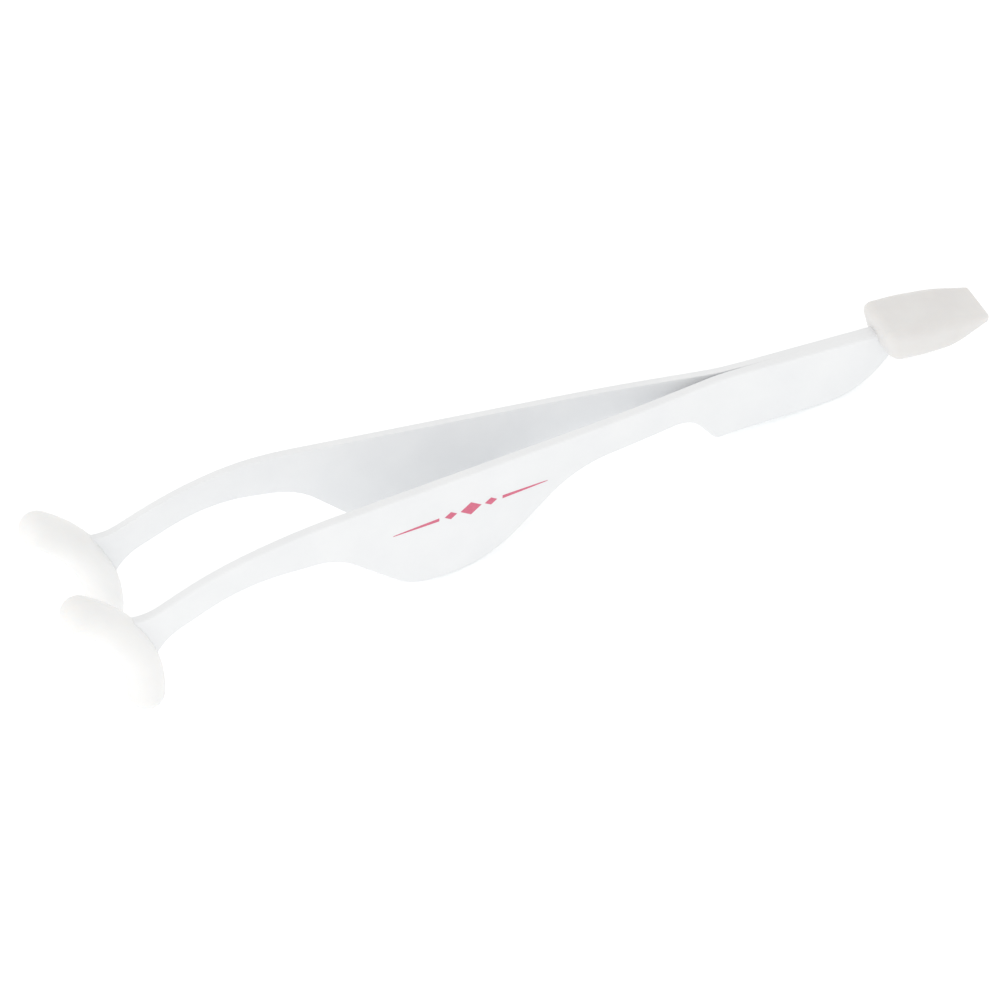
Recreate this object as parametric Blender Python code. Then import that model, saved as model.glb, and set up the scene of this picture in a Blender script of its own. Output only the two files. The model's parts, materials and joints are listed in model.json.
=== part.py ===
"""False-eyelash applicator tweezers, modelled in Blender.

Two coated spring-steel arms lie back to back under a silicone cap and spread towards the front. Each arm has
a finger belly, a narrow neck and a stem that ends in an arc-shaped cross-bar under a silicone sleeve.

The tool frame has +X towards the cap, Z across the height of the arms, z = 0 on their straight top edge and
x = 0 just behind the place where the arms part. The arms mirror each other in the plane y = 0. The whole
tool then stands on the lowest points of its moving arms and of its rear plates, so the tool frame is pitched.

Lengths are in millimetres in the functions below and are scaled to metres when a mesh is made.
"""

from math import asin, atan2, cos, hypot, pi, radians, sin, sqrt, tan

import bmesh
import bpy
from mathutils import Matrix, Vector

MM = 0.001

# Arms: flat stampings, measured along the top edge before they are bent
PLATE_THICKNESS = 0.9
SEAM_GAP = 0.3  # between the two clamped plates
CLEARANCE = 0.3  # between touching pieces
FLEX_POSITION = -11.0  # the middle of the neck that bends in use
TAIL_END = 25.0
TAIL_LOW = -1.75
CURVE_STEP = radians(9)  # turn between two points of a round stretch

# Lower edge of the blank, rear to front: (x, z, corner radius)
TAIL_ROOT = (20.3, TAIL_LOW, 1.0)
REAR_CURVE = (15.1, -8.55, 10.0)
STEP_CORNER = (-3.8, -9.4, 1.6)
STEP_ROOT = (-7.6, -4.55, 4.6)
NECK_REAR = (-23.15, -5.2, 12.5)
BELLY_REAR = (-34.75, -15.1, 13.0)
BELLY_FRONT = (-44.45, -14.5, 8.15)
NECK_FRONT = (-54.05, -5.85, 8.5)
NECK_BEND_RADIUS = 19.0
NECK_LOW = -4.95
TOP_BEND_RADIUS = 42.5

# Head: the cross-bar is an arc about HEAD_CENTRE, and the stem leaves its back along the bar's middle line
HEAD_CENTRE = (-94.35, -16.4)
HEAD_ANGLE = radians(25.8)
BAR_RADIUS = 16.95
BAR_WIDTH = 2.0
BAR_HALF_SPREAD = radians(26.0)
STEM_HALF_WIDTH = 2.12
STEM_OFFSET = -0.36  # of the stem from the bar's middle line
STEM_FILLET_TOP = 5.5
STEM_FILLET_LOW = 6.5
FILLET_MARGIN = 1.0  # plain stretch of the bar's back beside each fillet

# Sleeve
SLEEVE_RADIUS = 2.18
SLEEVE_HALF_SPREAD = radians(29.1)
SLEEVE_RINGS = 20
SLEEVE_SIDES = 20
HOLLOW_REACH = 6.0  # of the sleeve's hollow along the stem, past its mouth

# Plan bends of an arm, rear to front: (middle of the bend, length, turn outward)
BENDS = (
    (-3.6, 3.0, radians(8.1)),
    (-17.0, 12.0, radians(-2.4)),
    (-60.7, 8.0, radians(-4.8)),
)
BEND_CUT = 1.0  # length of one facet of a bend

# Cap: a wedge that tapers to a straight front edge, with a rounded rear face.
# Each section is (x, half width, top, bottom, rounding of the top corners, rounding of the bottom corners)
CAP_SECTIONS = (
    (16.3, 3.7, 1.95, -2.95, 1.3, 1.6),
    (25.0, 3.85, 1.4, -2.45, 0.9, 1.2),
    (30.7, 2.85, 0.2, -0.75, 0.3, 0.3),
)
CAP_REAR_ROUNDING = 1.8
CAP_EDGE_ROUNDING = 0.3
CAP_BULGE = 0.25  # of the rear face's middle
CAP_LEAN = 0.3  # of the rear face: how far each millimetre further down lies further forward
CAP_CORNER_STEPS = 4
LEAST_ROUNDING = 0.05  # of a corner that an inset has used up
POCKET_OVERRUN = 4.0  # of the pocket's cutter, behind the rear face

LEVELLING_STEPS = 6

WHITE_COAT = (0.86, 0.86, 0.87, 1.0)
WHITE_SILICONE = (0.88, 0.88, 0.87, 1.0)
WARM_SILICONE = (0.82, 0.81, 0.80, 1.0)


# ---------------------------------------------------------------- outlines


def arc(centre, radius, start, end):
    """Points of an arc from the angle start to the angle end."""
    steps = max(2, round(abs(end - start) / CURVE_STEP))
    angles = [start + (end - start) * i / steps for i in range(steps + 1)]
    return [(centre[0] + radius * cos(a), centre[1] + radius * sin(a)) for a in angles]


def rounded(before, corner, after, radius):
    """The arc that rounds a corner between its two neighbours."""
    a = Vector(before) - Vector(corner)
    b = Vector(after) - Vector(corner)
    a.normalize()
    b.normalize()
    half = a.angle(b) / 2
    middle = Vector(corner) + (a + b).normalized() * (radius / sin(half))
    start = Vector(corner) + a * (radius / tan(half)) - middle
    end = Vector(corner) + b * (radius / tan(half)) - middle
    first = atan2(start.y, start.x)
    turn = (atan2(end.y, end.x) - first + pi) % (2 * pi) - pi
    return arc(middle, radius, first, first + turn)


def rounded_path(corners):
    """A closed outline from (x, z, radius) corners. A radius of 0 keeps the corner as it is."""
    points = []
    for i, (x, z, radius) in enumerate(corners):
        if radius == 0:
            points.append((x, z))
            continue
        before = corners[i - 1][:2]
        after = corners[(i + 1) % len(corners)][:2]
        points += rounded(before, (x, z), after, radius)
    return points


def head_point(along, across):
    """A point of the head: along the stem from the arc's centre, and across it towards the top."""
    c, s = cos(HEAD_ANGLE), sin(HEAD_ANGLE)
    return (
        HEAD_CENTRE[0] + along * c - across * s,
        HEAD_CENTRE[1] + along * s + across * c,
    )


def head_corners(grow, stem_ends):
    """The head's outline, from the stem's top edge round the cross-bar to the stem's lower edge.

    grow makes every side stand out further, which gives the hollow of the sleeve. stem_ends holds the
    corners on the stem that come before and after the head.
    """
    back = BAR_RADIUS + BAR_WIDTH / 2 + grow
    front = BAR_RADIUS - BAR_WIDTH / 2 - grow
    end_radius = BAR_WIDTH / 2 + grow
    top = STEM_OFFSET + STEM_HALF_WIDTH + grow
    low = STEM_OFFSET - STEM_HALF_WIDTH - grow
    spread = BAR_HALF_SPREAD
    middle = HEAD_ANGLE
    upper_end = arc(HEAD_CENTRE, BAR_RADIUS, middle + spread, middle + spread)[0]
    lower_end = arc(HEAD_CENTRE, BAR_RADIUS, middle - spread, middle - spread)[0]
    upper_free = asin(top / back) + (STEM_FILLET_TOP + FILLET_MARGIN) / back
    lower_free = asin(-low / back) + (STEM_FILLET_LOW + FILLET_MARGIN) / back

    def kept(points):
        return [(x, z, 0) for x, z in points]

    corners = [stem_ends[0]]
    corners.append((*head_point(sqrt(back**2 - top**2), top), STEM_FILLET_TOP - grow))
    if upper_free < spread:
        corners += kept(arc(HEAD_CENTRE, back, middle + upper_free, middle + spread)[:-1])
    corners += kept(arc(upper_end, end_radius, middle + spread, middle + spread + pi))
    corners += kept(arc(HEAD_CENTRE, front, middle + spread, middle - spread)[1:-1])
    corners += kept(arc(lower_end, end_radius, middle - spread - pi, middle - spread))
    if lower_free < spread:
        corners += kept(arc(HEAD_CENTRE, back, middle - spread, middle - lower_free)[1:])
    corners.append((*head_point(sqrt(back**2 - low**2), low), STEM_FILLET_LOW - grow))
    corners.append(stem_ends[1])
    return corners


def stem_crossing(across, height):
    """Where the stem's edge at a distance across meets the level height."""
    along = (height - HEAD_CENTRE[1] - across * cos(HEAD_ANGLE)) / sin(HEAD_ANGLE)
    return head_point(along, across)


def blank_outline():
    """The stamped blank of an arm, anticlockwise from the tail's upper corner."""
    top = STEM_OFFSET + STEM_HALF_WIDTH
    low = STEM_OFFSET - STEM_HALF_WIDTH
    top_bend = (*stem_crossing(top, 0.0), TOP_BEND_RADIUS)
    neck_bend = (*stem_crossing(low, NECK_LOW), NECK_BEND_RADIUS)
    corners = [(TAIL_END, 0.0, 0)]
    corners += head_corners(0.0, (top_bend, neck_bend))
    corners += [NECK_FRONT, BELLY_FRONT, BELLY_REAR, NECK_REAR, STEP_ROOT, STEP_CORNER, REAR_CURVE]
    corners += [TAIL_ROOT, (TAIL_END, TAIL_LOW, 0)]
    return rounded_path(corners)


# ---------------------------------------------------------------- plan bends


def plan_point(along):
    """(x, y, heading) of the arm's inner face at a distance along the blank, for the arm at +Y."""
    y = SEAM_GAP / 2
    if along >= 0:
        return along, y, 0.0
    x, heading, reached = 0.0, 0.0, 0.0
    for middle, length, turn in BENDS:
        start, end = middle + length / 2, middle - length / 2
        straight = reached - max(along, start)
        if straight > 0:
            x -= straight * cos(heading)
            y += straight * sin(heading)
            reached -= straight
        if along >= start:
            return x, y, heading
        part = min((start - along) / length, 1.0)
        radius = length / turn
        after = heading + turn * part
        x -= radius * (sin(after) - sin(heading))
        y += radius * (cos(heading) - cos(after))
        heading, reached = after, max(along, end)
    straight = reached - along
    return x - straight * cos(heading), y + straight * sin(heading), heading


def bent(along, height, out, side):
    """A point of the blank in the tool frame: out is its distance outward from the inner face."""
    x, y, heading = plan_point(along)
    return Vector((x + out * sin(heading), side * (y + out * cos(heading)), height))


# ---------------------------------------------------------------- meshes


def plate_mesh(outline, low, high):
    """A flat plate: the outline in XZ, with y from low to high."""
    mesh = bmesh.new()
    face = mesh.faces.new([mesh.verts.new((x, low, z)) for x, z in outline])
    thick = bmesh.ops.extrude_face_region(mesh, geom=[face])
    moved = [item for item in thick["geom"] if isinstance(item, bmesh.types.BMVert)]
    bmesh.ops.translate(mesh, vec=(0, high - low, 0), verts=moved)
    return mesh


def cut(mesh, position, direction=0):
    """Adds an edge loop across a plate at x = position. A direction of +1 or -1 also clears that side."""
    geometry = mesh.verts[:] + mesh.edges[:] + mesh.faces[:]
    result = bmesh.ops.bisect_plane(
        mesh,
        geom=geometry,
        plane_co=(position, 0, 0),
        plane_no=(1, 0, 0),
        clear_outer=direction > 0,
        clear_inner=direction < 0,
    )
    if direction:
        edges = [item for item in result["geom_cut"] if isinstance(item, bmesh.types.BMEdge)]
        bmesh.ops.contextual_create(mesh, geom=edges)


def face_outward(mesh):
    """Turns every face of a closed body outward."""
    bmesh.ops.recalc_face_normals(mesh, faces=mesh.faces)
    if mesh.calc_volume(signed=True) < 0:
        bmesh.ops.reverse_faces(mesh, faces=mesh.faces)


def bend(mesh, side):
    """Bends a flat plate or a sleeve to the plan of the arm on one side."""
    for vert in mesh.verts:
        vert.co = bent(vert.co.x, vert.co.z, vert.co.y, side)
    face_outward(mesh)


def bend_cuts():
    """The places where the blank is faceted, so that its bends are round."""
    places = []
    for middle, length, _ in BENDS:
        count = round(length / BEND_CUT)
        places += [middle - length / 2 + length * i / count for i in range(count + 1)]
    return places


def ringed_mesh(rings):
    """A closed body through rings of points, with a pole at each end."""
    mesh = bmesh.new()
    first = mesh.verts.new(rings[0][0])
    loops = [[mesh.verts.new(point) for point in ring] for ring in rings[1:-1]]
    last = mesh.verts.new(rings[-1][0])
    sides = len(loops[0])
    for a, b in zip(loops, loops[1:]):
        for i in range(sides):
            mesh.faces.new((a[i], a[(i + 1) % sides], b[(i + 1) % sides], b[i]))
    for i in range(sides):
        mesh.faces.new((first, loops[0][(i + 1) % sides], loops[0][i]))
        mesh.faces.new((last, loops[-1][i], loops[-1][(i + 1) % sides]))
    return mesh


def sleeve_mesh():
    """The sleeve's outer body: a round bar along the cross-bar's arc, with hemispherical ends."""
    end_turn = SLEEVE_RADIUS / BAR_RADIUS
    low = HEAD_ANGLE - SLEEVE_HALF_SPREAD - end_turn
    high = HEAD_ANGLE + SLEEVE_HALF_SPREAD + end_turn
    rings = []
    for i in range(SLEEVE_RINGS + 1):
        # Cosine spacing puts more rings on the round ends
        angle = low + (high - low) * (1 - cos(pi * i / SLEEVE_RINGS)) / 2
        over = max(low + end_turn - angle, angle - high + end_turn, 0.0) / end_turn
        radius = SLEEVE_RADIUS * sqrt(max(1 - over**2, 0.0))
        ring = []
        for k in range(SLEEVE_SIDES):
            turn = 2 * pi * k / SLEEVE_SIDES
            reach = BAR_RADIUS + radius * cos(turn)
            x = HEAD_CENTRE[0] + reach * cos(angle)
            z = HEAD_CENTRE[1] + reach * sin(angle)
            ring.append((x, PLATE_THICKNESS / 2 + radius * sin(turn), z))
        rings.append(ring)
    return ringed_mesh(rings)


def leaning(x, z):
    """x, moved forward by the lean of the rear face, which fades out towards the cap's middle."""
    (rear, _, top, *_), (middle, *_), _ = CAP_SECTIONS
    return x + CAP_LEAN * (top - z) * min(max((middle - x) / (middle - rear), 0.0), 1.0)


def cap_ring(x, inset):
    """The cap's section at x, with every side moved inward by inset."""
    rear = 0 if x < CAP_SECTIONS[1][0] else 1
    (x0, *before), (x1, *after) = CAP_SECTIONS[rear : rear + 2]
    share = (x - x0) / (x1 - x0)
    half, top, low, top_round, low_round = (a + (b - a) * share for a, b in zip(before, after))
    ring = []
    for quarter in range(4):
        # Upper right, upper left, lower left, lower right
        upper = quarter < 2
        way = 1 if quarter in (0, 3) else -1
        radius = top_round if upper else low_round
        y = way * (half - radius)
        z = top - radius if upper else low + radius
        rounding = max(radius - inset, LEAST_ROUNDING)
        reach = radius - inset - rounding
        for i in range(CAP_CORNER_STEPS + 1):
            turn = pi / 2 * (quarter + i / CAP_CORNER_STEPS)
            height = z + (reach if upper else -reach) + rounding * sin(turn)
            ring.append((leaning(x, height), y + way * reach + rounding * cos(turn), height))
    return ring


def cap_mesh():
    """The wedge, ring by ring: its rounded rear face, its middle and its straight front edge."""
    rear, middle, front = (section[0] for section in CAP_SECTIONS)
    rings = []
    for turn in (0, pi / 8, pi / 4, 3 * pi / 8, pi / 2):
        inset = CAP_REAR_ROUNDING * (1 - sin(turn))
        rings.append(cap_ring(rear + CAP_REAR_ROUNDING * (1 - cos(turn)), inset))
    rings.append(cap_ring(middle, 0.0))
    for turn in (pi / 2, pi / 4, 0):
        inset = CAP_EDGE_ROUNDING * (1 - sin(turn))
        rings.append(cap_ring(front - CAP_EDGE_ROUNDING * (1 - cos(turn)), inset))
    ends = []
    for x, ring in ((rear - CAP_BULGE, rings[0]), (front, rings[-1])):
        height = (max(z for _, _, z in ring) + min(z for _, _, z in ring)) / 2
        ends.append([(leaning(x, height), 0.0, height)])
    mesh = ringed_mesh([ends[0], *rings, ends[1]])
    face_outward(mesh)
    return mesh


def pocket_mesh():
    """The cap's pocket: the plates' tail, one clearance larger all round, and open at the rear."""
    half = SEAM_GAP / 2 + PLATE_THICKNESS + CLEARANCE
    low = TAIL_LOW - CLEARANCE
    run = TAIL_ROOT[0] - REAR_CURVE[0]
    rise = TAIL_ROOT[1] - REAR_CURVE[1]
    # The slanted lower edge of the plates moves back along X until it is one clearance away
    shift = CLEARANCE * hypot(run, rise) / rise
    root = (TAIL_ROOT[0] + shift - CLEARANCE * run / rise, low)
    far = TAIL_END + CLEARANCE
    rear = CAP_SECTIONS[0][0] - POCKET_OVERRUN
    outline = [(rear, CLEARANCE), (far, CLEARANCE), (far, low), root]
    outline += [(REAR_CURVE[0] + shift, REAR_CURVE[1]), (rear, REAR_CURVE[1])]
    mesh = plate_mesh(outline, -half, half)
    face_outward(mesh)
    return mesh


# ---------------------------------------------------------------- objects


def material(name, colour, roughness):
    made = bpy.data.materials.new(name)
    made.use_nodes = True
    shader = made.node_tree.nodes["Principled BSDF"]
    shader.inputs["Base Color"].default_value = colour
    shader.inputs["Metallic"].default_value = 0.0
    shader.inputs["Roughness"].default_value = roughness
    made.diffuse_color = colour
    return made


def empty(name, location, parent=None):
    made = bpy.data.objects.new(name, None)
    made.empty_display_size = 0.01
    made.parent = parent
    made.location = location
    bpy.context.scene.collection.objects.link(made)
    return made


def piece(name, mesh, parent, finish, origin=Vector()):
    """An object from a mesh in the tool frame, in millimetres, whose origin is at origin."""
    bmesh.ops.transform(mesh, matrix=Matrix.Scale(MM, 4) @ Matrix.Translation(-origin), verts=mesh.verts)
    data = bpy.data.meshes.new(name)
    mesh.to_mesh(data)
    mesh.free()
    data.materials.append(finish)
    made = bpy.data.objects.new(name, data)
    made.parent = parent
    bpy.context.scene.collection.objects.link(made)
    return made


def smooth(made, angle=radians(35)):
    made.data.shade_smooth()
    made.data.set_sharp_from_angle(angle=angle)


def hide(cutter):
    cutter.hide_render = True
    cutter.display_type = "WIRE"
    return cutter


def carve(made, cutter):
    boolean = made.modifiers.new("hollow", "BOOLEAN")
    boolean.operation = "DIFFERENCE"
    boolean.object = hide(cutter)
    return boolean


def clear_scene():
    for old in list(bpy.data.objects):
        bpy.data.objects.remove(old, do_unlink=True)


def add_arm(side_name, side, tool, coat, silicone):
    """One arm: its clamped rear plate, its moving blade and the sleeve on the blade's head."""
    rear = plate_mesh(blank_outline(), 0.0, PLATE_THICKNESS)
    blade = rear.copy()
    for place in bend_cuts():
        for part, kept_side in ((rear, 1), (blade, -1)):
            if (place - FLEX_POSITION) * kept_side > CLEARANCE:
                cut(part, place)
    cut(rear, FLEX_POSITION + CLEARANCE / 2, direction=-1)
    cut(blade, FLEX_POSITION - CLEARANCE / 2, direction=1)
    bend(rear, side)
    bend(blade, side)
    pivot_point = bent(FLEX_POSITION, 0.0, PLATE_THICKNESS / 2, side)
    pivot = empty(f"{side_name}_arm_pivot", pivot_point * MM, tool)

    piece(f"{side_name}_arm_rear", rear, tool, coat)
    piece(f"{side_name}_arm_blade", blade, pivot, coat, pivot_point)

    sleeve = sleeve_mesh()
    bend(sleeve, side)
    back = BAR_RADIUS + BAR_WIDTH / 2
    stem_ends = tuple(
        (*head_point(back + HOLLOW_REACH, STEM_OFFSET + way * (STEM_HALF_WIDTH + CLEARANCE)), 0)
        for way in (1, -1)
    )
    outline = rounded_path(head_corners(CLEARANCE, stem_ends))
    hollow = plate_mesh(outline, -CLEARANCE, PLATE_THICKNESS + CLEARANCE)
    bend(hollow, side)
    made = piece(f"{side_name}_jaw_sleeve", sleeve, pivot, silicone, pivot_point)
    smooth(made)
    carve(made, piece(f"{side_name}_sleeve_hollow", hollow, pivot, silicone, pivot_point))


def add_cap(tool, silicone):
    """The wedge-shaped cap on the arms' common tail."""
    cap = piece("end_cap", cap_mesh(), tool, silicone)
    carve(cap, piece("cap_pocket", pocket_mesh(), tool, silicone))
    smooth(cap)


def placed_points(kept=""):
    """World positions of the vertices of every visible piece whose name contains kept."""
    bpy.context.view_layer.update()
    graph = bpy.context.evaluated_depsgraph_get()
    points = []
    for made in bpy.context.scene.objects:
        if made.type == "MESH" and not made.hide_render and kept in made.name:
            shape = made.evaluated_get(graph)
            points += [shape.matrix_world @ vert.co for vert in shape.data.vertices]
    return points


def stand(tool):
    """Pitches the tool until its moving arms and its rear plates stand level, centred over the origin."""
    for _ in range(LEVELLING_STEPS):
        front = min(placed_points("sleeve") + placed_points("blade"), key=lambda point: point.z)
        rear = min(placed_points("rear"), key=lambda point: point.z)
        tool.rotation_euler.y += atan2(rear.z - front.z, rear.x - front.x)
    points = placed_points()
    lows = [min(point[axis] for point in points) for axis in range(3)]
    highs = [max(point[axis] for point in points) for axis in range(3)]
    tool.location = (-(lows[0] + highs[0]) / 2, -(lows[1] + highs[1]) / 2, -lows[2])


def main():
    clear_scene()
    coat = material("white_coat", WHITE_COAT, 0.45)
    sleeve_silicone = material("sleeve_silicone", WHITE_SILICONE, 0.6)
    cap_silicone = material("cap_silicone", WARM_SILICONE, 0.6)
    tool = empty("tool_frame", (0.0, 0.0, 0.0))
    add_arm("left", -1, tool, coat, sleeve_silicone)
    add_arm("right", 1, tool, coat, sleeve_silicone)
    add_cap(tool, cap_silicone)
    stand(tool)


main()
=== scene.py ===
"""Looks of the eyelash applicator tweezers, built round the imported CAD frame.

Shapes are made in the tool frame, in millimetres: +X towards the cap, z = 0 on the arms' straight
top edge, x = 0 just behind the place where the arms part. TOOL takes them to the row frame, in
metres.
"""

import json
from math import asin, atan2, cos, pi, radians, sin, sqrt, tan

import bmesh
import bpy
from mathutils import Matrix, Vector


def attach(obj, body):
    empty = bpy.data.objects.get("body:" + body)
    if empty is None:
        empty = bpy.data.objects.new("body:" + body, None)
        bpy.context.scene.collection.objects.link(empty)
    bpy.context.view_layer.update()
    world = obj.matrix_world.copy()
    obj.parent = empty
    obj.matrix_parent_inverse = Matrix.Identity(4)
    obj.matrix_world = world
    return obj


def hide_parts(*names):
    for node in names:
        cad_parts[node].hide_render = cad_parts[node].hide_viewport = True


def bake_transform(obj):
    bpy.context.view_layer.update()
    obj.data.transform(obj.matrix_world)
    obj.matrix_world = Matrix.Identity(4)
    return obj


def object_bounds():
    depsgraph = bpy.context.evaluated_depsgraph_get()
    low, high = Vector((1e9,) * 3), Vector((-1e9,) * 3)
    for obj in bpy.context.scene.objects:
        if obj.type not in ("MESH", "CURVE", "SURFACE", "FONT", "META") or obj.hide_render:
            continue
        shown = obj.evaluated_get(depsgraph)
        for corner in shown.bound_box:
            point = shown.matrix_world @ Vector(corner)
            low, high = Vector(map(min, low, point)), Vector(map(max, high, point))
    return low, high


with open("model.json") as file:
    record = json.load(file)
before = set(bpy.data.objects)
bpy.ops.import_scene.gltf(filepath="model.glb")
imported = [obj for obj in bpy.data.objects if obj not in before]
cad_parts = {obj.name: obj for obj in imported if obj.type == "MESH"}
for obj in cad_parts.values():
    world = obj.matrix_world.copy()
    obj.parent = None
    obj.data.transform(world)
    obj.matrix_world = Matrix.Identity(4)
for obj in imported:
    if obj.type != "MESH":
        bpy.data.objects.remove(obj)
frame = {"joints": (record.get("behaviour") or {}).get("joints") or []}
cad_low, cad_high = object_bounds()

MM = 0.001
LEFT, RIGHT = -1, 1  # the way each arm's outer face looks along y

# The frame's own dimensions, as in the CAD part. A corner is (x, z, rounding).
PLATE_THICKNESS = 0.9
SEAM_GAP = 0.3
FLEX_POSITION = -11.0
TAIL_END = 25.0
TAIL_LOW = -1.75
TAIL_ROOT = (20.3, TAIL_LOW, 1.0)
REAR_CURVE = (15.1, -8.55, 10.0)
STEP_CORNER = (-3.8, -9.4, 1.6)
STEP_ROOT = (-7.6, -4.55, 4.6)
NECK_REAR = (-23.15, -5.2, 12.5)
BELLY_REAR = (-34.75, -15.1, 13.0)
BELLY_FRONT = (-44.45, -14.5, 8.15)
NECK_FRONT = (-54.05, -5.85, 8.5)
NECK_BEND_RADIUS = 19.0
NECK_LOW = -4.95
TOP_BEND_RADIUS = 42.5
HEAD_CENTRE = (-94.35, -16.4)
HEAD_ANGLE = radians(25.8)
BAR_RADIUS = 16.95
BAR_WIDTH = 2.0
BAR_HALF_SPREAD = radians(26.0)
STEM_HALF_WIDTH = 2.12
STEM_OFFSET = -0.36
STEM_FILLET_TOP = 5.5
STEM_FILLET_LOW = 6.5
FILLET_MARGIN = 1.0
SLEEVE_RADIUS = 2.18
SLEEVE_HALF_SPREAD = radians(29.1)
# (middle, length, turn) of each bend along an arm
BENDS = (
    (-3.6, 3.0, radians(8.1)),
    (-17.0, 12.0, radians(-2.4)),
    (-60.7, 8.0, radians(-4.8)),
)
# (x, half width, top, bottom, rounding of the top corners, rounding of the bottom corners),
# from the mouth that the tail enters to the wedge's edge
CAP_SECTIONS = (
    (16.3, 3.7, 1.95, -2.95, 1.3, 1.6),
    (21.0, 3.87, 1.85, -2.9, 1.5, 1.3),
    (25.8, 3.8, 1.4, -2.6, 1.6, 0.9),
    (30.7, 2.85, 0.2, -0.75, 0.45, 0.3),
)
CAP_SOFTENING = 1.4  # half the stretch over which the cap's sides turn at a section
CAP_MOUTH_ROUNDING = 1.5
CAP_EDGE_ROUNDING = 0.3
CAP_LEAST_ROUNDING = 0.02
CAP_BULGE = 0.25  # of the middle of the mouth's face
CAP_LEAN = 0.3  # of the mouth's face, along x for each unit of depth

# Finer than the CAD part
COAT = 0.05  # on each face of a plate
CURVE_STEP = radians(3)
OUTER_RIM_ROUNDING = 0.3  # of a plate's coated edges
INNER_RIM_ROUNDING = 0.12
SEAM_FADE = (-5.0, 1.5)  # the plates come together between these
GROOVE_FADE = (-1.0, 4.5)  # coat fills the groove between their top rims between these
GROOVE_FILLED = 0.9  # share of the groove that is filled; at 1 its faces would have no area
RIM_STEPS = 4
RIM_MARGIN = 1.01  # takes in the whole of a rounded rim
LEVEL_TOLERANCE = 1e-4
BEND_CUT = 0.5
FLEX_START = -4.0  # the stretch that bends when the tool is squeezed
FLEX_END = -18.0
SLEEVE_RINGS = 64
SLEEVE_SIDES = 40
CAP_CORNER_STEPS = 9
CAP_MOUTH_STEPS = 9
CAP_EDGE_STEPS = 5
CAP_SAMPLES = 4  # on each side of a place, to soften its section
CAP_RING_PITCH = 0.6

# Ornament on the left arm's belly
ORNAMENT_CENTRE = (-37.0, -5.4)
# (middle, half length, half height)
ORNAMENT_LOZENGES = ((0.0, 1.35, 0.95), (-2.6, 0.8, 0.55), (2.6, 0.8, 0.55))
ORNAMENT_LINE_START = 4.1
ORNAMENT_LINE_END = 10.0
ORNAMENT_LINE_WIDTH = 0.4  # without the tip's width
ORNAMENT_LINE_TIP = 0.03
ORNAMENT_LINE_TAPER = 0.7
ORNAMENT_LINE_STEPS = 16
PRINT_THICKNESS = 0.02

# Edges that turn by more than this stay sharp
ARM_CREASE = radians(60)
ORNAMENT_CREASE = radians(30)

NOISE_RANGE = (0.3, 0.7)  # the values that most of a noise takes

# Studio, in the row frame and in metres
SKY_COLOUR = (1.0, 0.992, 0.976, 1.0)
SKY_STRENGTH = 0.94
SOFTBOX_PLACE = (-0.5, -0.14, 0.21)
SOFTBOX_SIZE = 0.35
SOFTBOX_POWER = 0.3
SOFTBOX_COLOUR = (1.0, 0.985, 0.955)
FLOOR_HALF = 2.0
FLOOR_DROP = 0.0001
FLOOR_GLOW = (0.92, 0.97, 1.0, 1.0)
FLOOR_GLOW_STRENGTH = 0.215

# Camera, in the tool frame
CAMERA_AZIMUTH = radians(-24.27)
CAMERA_ELEVATION = radians(43.68)
CAMERA_ROLL = radians(-1.61)
CAMERA_DISTANCE = 465.8
CAMERA_LOOK_AT = (-30.3, 1.22, -11.87)
CAMERA_LENS = 144.0
CAMERA_SENSOR = 36.0
CAMERA_NEAR = 0.01  # metres


# ---------------------------------------------------------------- outline of an arm


def arc(centre, radius, start, end):
    """Points of an arc from the angle start to the angle end."""
    steps = max(2, round(abs(end - start) / CURVE_STEP))
    angles = [start + (end - start) * i / steps for i in range(steps + 1)]
    return [(centre[0] + radius * cos(a), centre[1] + radius * sin(a)) for a in angles]


def rounded(before, corner, after, radius):
    """The arc that rounds a corner between its two neighbours."""
    a = (Vector(before) - Vector(corner)).normalized()
    b = (Vector(after) - Vector(corner)).normalized()
    half = a.angle(b) / 2
    middle = Vector(corner) + (a + b).normalized() * (radius / sin(half))
    start = Vector(corner) + a * (radius / tan(half)) - middle
    end = Vector(corner) + b * (radius / tan(half)) - middle
    first = atan2(start.y, start.x)
    turn = (atan2(end.y, end.x) - first + pi) % (2 * pi) - pi
    return arc(middle, radius, first, first + turn)


def rounded_path(corners):
    """The closed outline, as (x, z) points, through (x, z, rounding) corners."""
    points = []
    for i, (x, z, radius) in enumerate(corners):
        if radius == 0:
            points.append((x, z))
            continue
        after = corners[(i + 1) % len(corners)][:2]
        points += rounded(corners[i - 1][:2], (x, z), after, radius)
    return points


def head_point(along, across):
    """A point from the centre of the bar's arc: along the stem's line, and across it."""
    c, s = cos(HEAD_ANGLE), sin(HEAD_ANGLE)
    return (
        HEAD_CENTRE[0] + along * c - across * s,
        HEAD_CENTRE[1] + along * s + across * c,
    )


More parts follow.
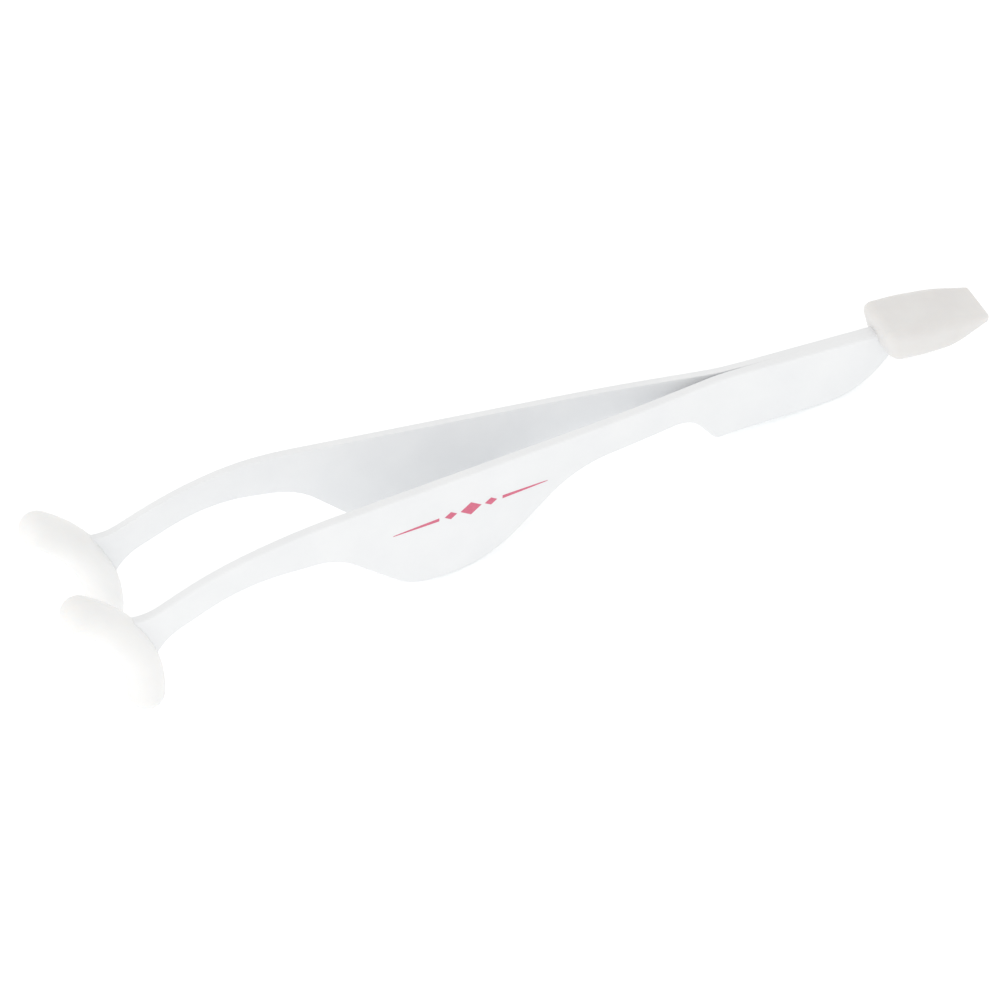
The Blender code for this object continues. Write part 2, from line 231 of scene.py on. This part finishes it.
def head_corners(stem_ends):
    """The cross-bar's outline, from the stem's top edge round to its lower edge."""
    back = BAR_RADIUS + BAR_WIDTH / 2
    front = BAR_RADIUS - BAR_WIDTH / 2
    top = STEM_OFFSET + STEM_HALF_WIDTH
    low = STEM_OFFSET - STEM_HALF_WIDTH
    high_end, low_end = HEAD_ANGLE + BAR_HALF_SPREAD, HEAD_ANGLE - BAR_HALF_SPREAD
    upper_centre = arc(HEAD_CENTRE, BAR_RADIUS, high_end, high_end)[0]
    lower_centre = arc(HEAD_CENTRE, BAR_RADIUS, low_end, low_end)[0]
    upper_free = asin(top / back) + (STEM_FILLET_TOP + FILLET_MARGIN) / back
    lower_free = asin(-low / back) + (STEM_FILLET_LOW + FILLET_MARGIN) / back

    def kept(points):
        return [(x, z, 0) for x, z in points]

    corners = [stem_ends[0]]
    corners.append((*head_point(sqrt(back**2 - top**2), top), STEM_FILLET_TOP))
    if upper_free < BAR_HALF_SPREAD:
        corners += kept(arc(HEAD_CENTRE, back, HEAD_ANGLE + upper_free, high_end)[:-1])
    corners += kept(arc(upper_centre, BAR_WIDTH / 2, high_end, high_end + pi))
    corners += kept(arc(HEAD_CENTRE, front, high_end, low_end)[1:-1])
    corners += kept(arc(lower_centre, BAR_WIDTH / 2, low_end - pi, low_end))
    if lower_free < BAR_HALF_SPREAD:
        corners += kept(arc(HEAD_CENTRE, back, low_end, HEAD_ANGLE - lower_free)[1:])
    corners.append((*head_point(sqrt(back**2 - low**2), low), STEM_FILLET_LOW))
    corners.append(stem_ends[1])
    return corners


def stem_crossing(across, height):
    """Where the line along the stem at across reaches a height."""
    along = (height - HEAD_CENTRE[1] - across * cos(HEAD_ANGLE)) / sin(HEAD_ANGLE)
    return head_point(along, across)


def blank_outline():
    """The outline of an arm's flat stamping."""
    top = STEM_OFFSET + STEM_HALF_WIDTH
    low = STEM_OFFSET - STEM_HALF_WIDTH
    top_bend = (*stem_crossing(top, 0.0), TOP_BEND_RADIUS)
    neck_bend = (*stem_crossing(low, NECK_LOW), NECK_BEND_RADIUS)
    corners = [(TAIL_END, 0.0, 0)]
    corners += head_corners((top_bend, neck_bend))
    corners += [NECK_FRONT, BELLY_FRONT, BELLY_REAR, NECK_REAR, STEP_ROOT, STEP_CORNER, REAR_CURVE]
    corners += [TAIL_ROOT, (TAIL_END, TAIL_LOW, 0)]
    return rounded_path(corners)


# ---------------------------------------------------------------- plan bends


def step(value, low, high):
    """0 below low, 1 above high and a smooth rise between them."""
    share = min(max((value - low) / (high - low), 0.0), 1.0)
    return share * share * (3 - 2 * share)


def plan_point(along):
    """(x, y, heading) of an arm's uncoated inner face. Behind their parting the coats touch."""
    y = SEAM_GAP / 2
    y -= (SEAM_GAP / 2 - COAT) * step(along, *SEAM_FADE)
    if along >= 0:
        return along, y, 0.0
    x, heading, reached = 0.0, 0.0, 0.0
    for middle, length, turn in BENDS:
        start, end = middle + length / 2, middle - length / 2
        straight = max(reached - max(along, start), 0.0)
        x -= straight * cos(heading)
        y += straight * sin(heading)
        reached -= straight
        if along >= start:
            break
        part = min((start - along) / length, 1.0)
        radius = length / turn
        after = heading + turn * part
        x -= radius * (sin(after) - sin(heading))
        y += radius * (cos(heading) - cos(after))
        heading, reached = after, max(along, end)
    straight = reached - along
    return x - straight * cos(heading), y + straight * sin(heading), heading


def bent(along, height, out, side):
    """A point of a bent arm, out from its uncoated inner face."""
    x, y, heading = plan_point(along)
    return Vector((x + out * sin(heading), side * (y + out * cos(heading)), height))


def tool_matrix():
    """The tool frame in the row frame, from the right arm's hinge."""
    hinge = next(joint for joint in frame["joints"] if joint["name"] == "right_arm_flex")
    up = Vector(hinge["axis"]).normalized()
    across = Vector((0, 1, 0))
    turn = Matrix((across.cross(up), across, up)).transposed()
    pivot = bent(FLEX_POSITION, 0.0, PLATE_THICKNESS / 2, RIGHT)
    origin = Vector(hinge["pos_m"]) - turn @ pivot * MM
    return Matrix.Translation(origin) @ turn.to_4x4()


TOOL = tool_matrix()


# ---------------------------------------------------------------- meshes


def face_outward(mesh):
    bmesh.ops.recalc_face_normals(mesh, faces=mesh.faces)
    if mesh.calc_volume(signed=True) < 0:
        bmesh.ops.reverse_faces(mesh, faces=mesh.faces)


def plate_mesh(outline, low, high):
    """A flat plate with an (x, z) outline, from y = low to y = high."""
    mesh = bmesh.new()
    face = mesh.faces.new([mesh.verts.new((x, low, z)) for x, z in outline])
    thick = bmesh.ops.extrude_face_region(mesh, geom=[face])
    moved = [item for item in thick["geom"] if isinstance(item, bmesh.types.BMVert)]
    bmesh.ops.translate(mesh, vec=(0, high - low, 0), verts=moved)
    return mesh


def bend_places():
    """Where a plate is cut across, so that its bends and its flexing neck are round."""
    places = set()
    flex = ((FLEX_START + FLEX_END) / 2, FLEX_START - FLEX_END, 0)
    for middle, length, _ in (*BENDS, flex):
        count = round(length / BEND_CUT)
        places |= {round(middle + length * (i / count - 0.5), 3) for i in range(count + 1)}
    count = round((GROOVE_FADE[1] - SEAM_FADE[0]) / BEND_CUT)
    places |= {SEAM_FADE[0] + i * BEND_CUT for i in range(count + 1)}
    return sorted(places)


def arm_mesh(side):
    """One stamped and coated arm, with softened rims, bent to its plan."""
    inner, outer = -COAT, PLATE_THICKNESS + COAT
    mesh = plate_mesh(blank_outline(), inner, outer)
    for level, rounding in ((outer, OUTER_RIM_ROUNDING), (inner, INNER_RIM_ROUNDING)):
        rims = [
            edge
            for edge in mesh.edges
            if all(abs(vert.co.y - level) < LEVEL_TOLERANCE for vert in edge.verts)
        ]
        bmesh.ops.bevel(
            mesh,
            geom=rims,
            offset=rounding,
            segments=RIM_STEPS,
            profile=0.5,
            affect="EDGES",
            clamp_overlap=False,
        )
    for place in bend_places():
        geometry = mesh.verts[:] + mesh.edges[:] + mesh.faces[:]
        bmesh.ops.bisect_plane(mesh, geom=geometry, plane_co=(place, 0, 0), plane_no=(1, 0, 0))
    # Each vertex takes its place on the bent arm, and coat fills the groove along the top rims
    rim = RIM_MARGIN * INNER_RIM_ROUNDING
    for vert in mesh.verts:
        x, out, height = vert.co
        filled = 0.0
        if height > -rim and out < inner + rim:
            filled = GROOVE_FILLED * step(x, *GROOVE_FADE)
        out += (inner - out) * filled
        height -= height * filled
        vert.co = bent(x, height, out, side)
    face_outward(mesh)
    return mesh


def ringed_mesh(rings):
    """A closed body through rings of points, with a pole at each end."""
    mesh = bmesh.new()
    first = mesh.verts.new(rings[0][0])
    loops = [[mesh.verts.new(point) for point in ring] for ring in rings[1:-1]]
    last = mesh.verts.new(rings[-1][0])
    sides = len(loops[0])
    for a, b in zip(loops, loops[1:]):
        for i in range(sides):
            mesh.faces.new((a[i], a[(i + 1) % sides], b[(i + 1) % sides], b[i]))
    for i in range(sides):
        mesh.faces.new((first, loops[0][(i + 1) % sides], loops[0][i]))
        mesh.faces.new((last, loops[-1][i], loops[-1][(i + 1) % sides]))
    face_outward(mesh)
    return mesh


def sleeve_mesh(side):
    """A soft tube along the cross-bar's arc, with round ends."""
    end_turn = SLEEVE_RADIUS / BAR_RADIUS
    low = HEAD_ANGLE - SLEEVE_HALF_SPREAD - end_turn
    high = HEAD_ANGLE + SLEEVE_HALF_SPREAD + end_turn
    rings = []
    for i in range(SLEEVE_RINGS + 1):
        angle = low + (high - low) * (1 - cos(pi * i / SLEEVE_RINGS)) / 2
        over = max(low + end_turn - angle, angle - high + end_turn, 0.0) / end_turn
        radius = SLEEVE_RADIUS * sqrt(max(1 - over**2, 0.0))
        ring = []
        for k in range(SLEEVE_SIDES):
            turn = 2 * pi * k / SLEEVE_SIDES
            reach = BAR_RADIUS + radius * cos(turn)
            x = HEAD_CENTRE[0] + reach * cos(angle)
            z = HEAD_CENTRE[1] + reach * sin(angle)
            ring.append(bent(x, z, PLATE_THICKNESS / 2 + radius * sin(turn), side))
        rings.append(ring)
    return ringed_mesh(rings)


def section_at(x):
    """The cap's (half width, top, bottom, roundings) at x, straight between its sections."""
    for (x0, *before), (x1, *after) in zip(CAP_SECTIONS, CAP_SECTIONS[1:]):
        if x <= x1:
            break
    share = (x - x0) / (x1 - x0)
    return [low + (high - low) * share for low, high in zip(before, after)]


def soft_section_at(x):
    """section_at, averaged over a short stretch, so that the sides turn softly."""
    reach = min(CAP_SOFTENING, x - CAP_SECTIONS[0][0], CAP_SECTIONS[-1][0] - x)
    places = range(-CAP_SAMPLES, CAP_SAMPLES + 1)
    samples = [section_at(x + reach * i / CAP_SAMPLES) for i in places]
    return [sum(column) / len(samples) for column in zip(*samples)]


def leaning(x, z):
    """x, moved so that the mouth's face leans. The lean fades towards the third section."""
    (mouth, _, top, *_), _, (middle, *_), _ = CAP_SECTIONS
    return x + CAP_LEAN * (top - z) * step(middle - x, 0.0, middle - mouth)


def cap_ring(x, inset):
    """The cap's section at x, with every side moved inward by inset."""
    half, top, low, top_round, low_round = soft_section_at(x)
    top_round = max(top_round, CAP_EDGE_ROUNDING)
    low_round = max(low_round, CAP_EDGE_ROUNDING)
    ring = []
    for quarter in range(4):
        upper = quarter < 2
        way = 1 if quarter in (0, 3) else -1
        radius = min(top_round if upper else low_round, (top - low) / 2)
        y = way * (half - radius)
        z = top - radius if upper else low + radius
        rounding = max(radius - inset, CAP_LEAST_ROUNDING)
        reach = radius - inset - rounding
        for i in range(CAP_CORNER_STEPS + 1):
            turn = pi / 2 * (quarter + i / CAP_CORNER_STEPS)
            height = z + (reach if upper else -reach) + rounding * sin(turn)
            ring.append((leaning(x, height), y + way * reach + rounding * cos(turn), height))
    return ring


def cap_mesh():
    """The wedge, ring by ring: its soft mouth, its body and its straight edge."""
    mouth, edge = CAP_SECTIONS[0][0], CAP_SECTIONS[-1][0]
    rings = []
    for i in range(CAP_MOUTH_STEPS + 1):
        turn = pi / 2 * i / CAP_MOUTH_STEPS
        x = mouth + CAP_MOUTH_ROUNDING * (1 - cos(turn))
        rings.append(cap_ring(x, CAP_MOUTH_ROUNDING * (1 - sin(turn))))
    body_start = mouth + CAP_MOUTH_ROUNDING
    body_end = edge - CAP_EDGE_ROUNDING
    count = round((body_end - body_start) / CAP_RING_PITCH)
    for i in range(1, count + 1):
        rings.append(cap_ring(body_start + (body_end - body_start) * i / count, 0.0))
    for i in range(1, CAP_EDGE_STEPS + 1):
        turn = pi / 2 * i / CAP_EDGE_STEPS
        x = body_end + CAP_EDGE_ROUNDING * sin(turn)
        rings.append(cap_ring(x, CAP_EDGE_ROUNDING * (1 - cos(turn))))
    ends = []
    for x, ring in ((mouth - CAP_BULGE, rings[0]), (edge, rings[-1])):
        height = (max(z for _, _, z in ring) + min(z for _, _, z in ring)) / 2
        ends.append([(leaning(x, height), 0.0, height)])
    return ringed_mesh([ends[0], *rings, ends[1]])


def ornament_shapes():
    """Outlines of the printed ornament about its middle: lozenges between two tapered lines."""
    shapes = []
    for middle, long, high in ORNAMENT_LOZENGES:
        shapes.append([(middle - long, 0), (middle, -high), (middle + long, 0), (middle, high)])
    length = ORNAMENT_LINE_END - ORNAMENT_LINE_START
    for way in (-1, 1):
        upper, lower = [], []
        for i in range(ORNAMENT_LINE_STEPS + 1):
            share = i / ORNAMENT_LINE_STEPS
            thick = ORNAMENT_LINE_WIDTH / 2 * (1 - share) ** ORNAMENT_LINE_TAPER + ORNAMENT_LINE_TIP
            x = way * (ORNAMENT_LINE_START + length * share)
            upper.append((x, thick))
            lower.append((x, -thick))
        shapes.append(upper + lower[::-1])
    return shapes


def ornament_mesh(side):
    """The ornament as a thin layer of ink that lies half in the coat."""
    mesh = bmesh.new()
    face = PLATE_THICKNESS + COAT
    for shape in ornament_shapes():
        layer = [(ORNAMENT_CENTRE[0] + x, ORNAMENT_CENTRE[1] + z) for x, z in shape]
        part = plate_mesh(layer, face - PRINT_THICKNESS, face + PRINT_THICKNESS)
        for vert in part.verts:
            vert.co = bent(vert.co.x, vert.co.z, vert.co.y, side)
        face_outward(part)
        data = bpy.data.meshes.new("ornament_part")
        part.to_mesh(data)
        part.free()
        mesh.from_mesh(data)
        bpy.data.meshes.remove(data)
    return mesh


# ---------------------------------------------------------------- materials


class Finish:
    """A procedural Principled material whose pattern lies in object space, in millimetres."""

    def __init__(self, name, roughness):
        self.made = bpy.data.materials.new(name)
        self.made.use_nodes = True
        self.tree = self.made.node_tree
        self.shader = self.tree.nodes["Principled BSDF"]
        self.shader.inputs["Roughness"].default_value = roughness
        place = self.tree.nodes.new("ShaderNodeTexCoord")
        scale = self.tree.nodes.new("ShaderNodeMapping")
        scale.inputs["Scale"].default_value = (1 / MM,) * 3
        self.tree.links.new(place.outputs["Object"], scale.inputs["Vector"])
        self.space = scale.outputs["Vector"]

    def noise(self, size, detail=3.0):
        """Noise whose lumps are about size millimetres."""
        made = self.tree.nodes.new("ShaderNodeTexNoise")
        made.inputs["Scale"].default_value = 1 / size
        made.inputs["Detail"].default_value = detail
        made.inputs["Roughness"].default_value = 0.5
        self.tree.links.new(self.space, made.inputs["Vector"])
        return made.outputs["Fac"]

    def ramp(self, value, *stops):
        """Colours over value, from two (position, colour) stops."""
        made = self.tree.nodes.new("ShaderNodeValToRGB")
        for element, (position, colour) in zip(made.color_ramp.elements, stops):
            element.position = position
            element.color = (*colour, 1.0)
        self.tree.links.new(value, made.inputs["Fac"])
        return made.outputs["Color"]

    def spread(self, value, low, high):
        """A noise's value, mapped from NOISE_RANGE to low..high."""
        made = self.tree.nodes.new("ShaderNodeMapRange")
        made.inputs["From Min"].default_value = NOISE_RANGE[0]
        made.inputs["From Max"].default_value = NOISE_RANGE[1]
        made.inputs["To Min"].default_value = low
        made.inputs["To Max"].default_value = high
        self.tree.links.new(value, made.inputs["Value"])
        return made.outputs["Result"]

    def bump(self, value, height, below=None):
        """A bump of a height in millimetres, over another bump if one is given."""
        made = self.tree.nodes.new("ShaderNodeBump")
        made.inputs["Strength"].default_value = 1.0
        made.inputs["Distance"].default_value = height * MM
        self.tree.links.new(value, made.inputs["Height"])
        if below:
            self.tree.links.new(below, made.inputs["Normal"])
        return made.outputs["Normal"]

    def connect(self, output, socket):
        self.tree.links.new(output, self.shader.inputs[socket])


def coat_finish():
    """White satin powder coat: an even orange peel with faint mottling."""
    finish = Finish("white_coat_finish", 0.42)
    low, high = NOISE_RANGE
    dull, bright = (0.845, 0.857, 0.876), (0.878, 0.888, 0.902)
    tint = finish.ramp(finish.noise(6.0, 4.0), (low, dull), (high, bright))
    finish.connect(tint, "Base Color")
    finish.connect(finish.spread(finish.noise(1.3), 0.36, 0.5), "Roughness")
    peel = finish.bump(finish.noise(0.45, 2.0), 0.006)
    finish.connect(finish.bump(finish.noise(0.12, 1.0), 0.0015, peel), "Normal")
    finish.shader.inputs["Specular IOR Level"].default_value = 0.5
    return finish.made


def silicone_finish(name, dull, bright, roughness):
    """Matte silicone: it lets a little light through and carries a fine moulded grain."""
    finish = Finish(name, roughness)
    low, high = NOISE_RANGE
    tint = finish.ramp(finish.noise(3.5, 4.0), (low, dull), (high, bright))
    finish.connect(tint, "Base Color")
    rubbed = finish.spread(finish.noise(0.8), roughness - 0.06, roughness + 0.08)
    finish.connect(rubbed, "Roughness")
    waves = finish.bump(finish.noise(1.6, 2.0), 0.012)
    finish.connect(finish.bump(finish.noise(0.14, 2.0), 0.003, waves), "Normal")
    finish.shader.inputs["Subsurface Weight"].default_value = 0.25
    finish.shader.inputs["Subsurface Radius"].default_value = (1.0, 0.9, 0.8)
    finish.shader.inputs["Subsurface Scale"].default_value = 0.0012
    finish.shader.inputs["Sheen Weight"].default_value = 0.08
    finish.shader.inputs["Sheen Roughness"].default_value = 0.5
    return finish.made


def print_finish():
    """Pad-printed rose ink with slightly uneven cover."""
    finish = Finish("rose_print_finish", 0.4)
    cover = finish.noise(0.35, 3.0)
    tint = finish.ramp(cover, (0.25, (0.72, 0.16, 0.26)), (0.75, (0.62, 0.12, 0.21)))
    finish.connect(tint, "Base Color")
    finish.connect(finish.spread(finish.noise(0.25), 0.34, 0.5), "Roughness")
    finish.connect(finish.bump(cover, 0.003), "Normal")
    return finish.made


def floor_finish():
    """A pale, faintly lit table."""
    finish = Finish("pale_floor_finish", 0.9)
    low, high = NOISE_RANGE
    tint = finish.ramp(finish.noise(90.0, 2.0), (low, (0.93,) * 3), (high, (0.95,) * 3))
    finish.connect(tint, "Base Color")
    finish.shader.inputs["Specular IOR Level"].default_value = 0.1
    finish.shader.inputs["Emission Color"].default_value = FLOOR_GLOW
    finish.shader.inputs["Emission Strength"].default_value = FLOOR_GLOW_STRENGTH
    return finish.made


# ---------------------------------------------------------------- pieces


def piece(name, mesh, finish, crease=None):
    """An object in the row frame from a mesh in the tool frame."""
    bmesh.ops.transform(mesh, matrix=TOOL @ Matrix.Scale(MM, 4), verts=mesh.verts)
    data = bpy.data.meshes.new(name)
    mesh.to_mesh(data)
    mesh.free()
    data.materials.append(finish)
    data.shade_smooth()
    if crease:
        data.set_sharp_from_angle(angle=crease)
    made = bpy.data.objects.new(name, data)
    bpy.context.scene.collection.objects.link(made)
    return made


def add_arm(side_name, side, coat, silicone):
    arm = piece(f"{side_name}_arm", arm_mesh(side), coat, ARM_CREASE)
    normals = arm.modifiers.new("even_faces", "WEIGHTED_NORMAL")
    normals.weight = 100
    normals.keep_sharp = True
    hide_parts(f"{side_name}_arm_rear", f"{side_name}_arm_blade")
    start = TOOL @ (bent(FLEX_START, 0.0, 0.0, side) * MM)
    end = TOOL @ (bent(FLEX_END, 0.0, 0.0, side) * MM)
    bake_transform(arm)

    sleeve = piece(f"{side_name}_sleeve", sleeve_mesh(side), silicone)
    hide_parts(f"{side_name}_jaw_sleeve")
    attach(sleeve, f"{side_name}_arm")


def add_softbox(target):
    data = bpy.data.lights.new("softbox", "AREA")
    data.shape = "DISK"
    data.size = SOFTBOX_SIZE
    data.energy = SOFTBOX_POWER
    data.color = SOFTBOX_COLOUR
    made = bpy.data.objects.new("softbox", data)
    made.location = SOFTBOX_PLACE
    made.rotation_mode = "QUATERNION"
    made.rotation_quaternion = (target - Vector(SOFTBOX_PLACE)).to_track_quat("-Z", "Y")
    bpy.context.scene.collection.objects.link(made)


def add_studio():
    data = bpy.data.meshes.new("floor")
    half = FLOOR_HALF
    corners = [(-half, -half, 0), (half, -half, 0), (half, half, 0), (-half, half, 0)]
    data.from_pydata(corners, [], [(0, 1, 2, 3)])
    data.materials.append(floor_finish())
    floor = bpy.data.objects.new("floor", data)
    floor.location.z = cad_low.z - FLOOR_DROP
    bpy.context.scene.collection.objects.link(floor)

    world = bpy.data.worlds.new("studio")
    world.use_nodes = True
    sky = world.node_tree.nodes["Background"]
    sky.inputs["Color"].default_value = SKY_COLOUR
    sky.inputs["Strength"].default_value = SKY_STRENGTH
    bpy.context.scene.world = world

    add_softbox((cad_low + cad_high) / 2)
    bpy.context.scene.view_settings.view_transform = "Standard"


def add_camera():
    azimuth, elevation = CAMERA_AZIMUTH, CAMERA_ELEVATION
    level = Vector((cos(azimuth), sin(azimuth), 0))
    back = Vector((sin(azimuth) * cos(elevation), -cos(azimuth) * cos(elevation), sin(elevation)))
    upward = back.cross(level)
    right = level * cos(CAMERA_ROLL) - upward * sin(CAMERA_ROLL)
    top = level * sin(CAMERA_ROLL) + upward * cos(CAMERA_ROLL)
    turn = Matrix((right, top, back)).transposed().to_4x4()
    place = (Vector(CAMERA_LOOK_AT) + back * CAMERA_DISTANCE) * MM
    data = bpy.data.cameras.new("camera")
    data.lens = CAMERA_LENS
    data.sensor_width = CAMERA_SENSOR
    data.clip_start = CAMERA_NEAR
    camera = bpy.data.objects.new("camera", data)
    camera.matrix_world = TOOL @ Matrix.Translation(place) @ turn
    bpy.context.scene.collection.objects.link(camera)
    bpy.context.scene.camera = camera


def main():
    coat = coat_finish()
    sleeve_silicone = silicone_finish(
        "sleeve_silicone_finish", (0.875, 0.876, 0.876), (0.9, 0.901, 0.901), 0.55
    )
    cap_silicone = silicone_finish(
        "cap_silicone_finish", (0.765, 0.752, 0.745), (0.795, 0.787, 0.78), 0.5
    )
    add_arm("left", LEFT, coat, sleeve_silicone)
    add_arm("right", RIGHT, coat, sleeve_silicone)

    ornament = piece("belly_ornament", ornament_mesh(LEFT), print_finish(), ORNAMENT_CREASE)
    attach(ornament, "left_arm")

    cap = piece("silicone_cap", cap_mesh(), cap_silicone)
    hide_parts("end_cap")
    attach(cap, "tail")

    add_studio()
    add_camera()


main()
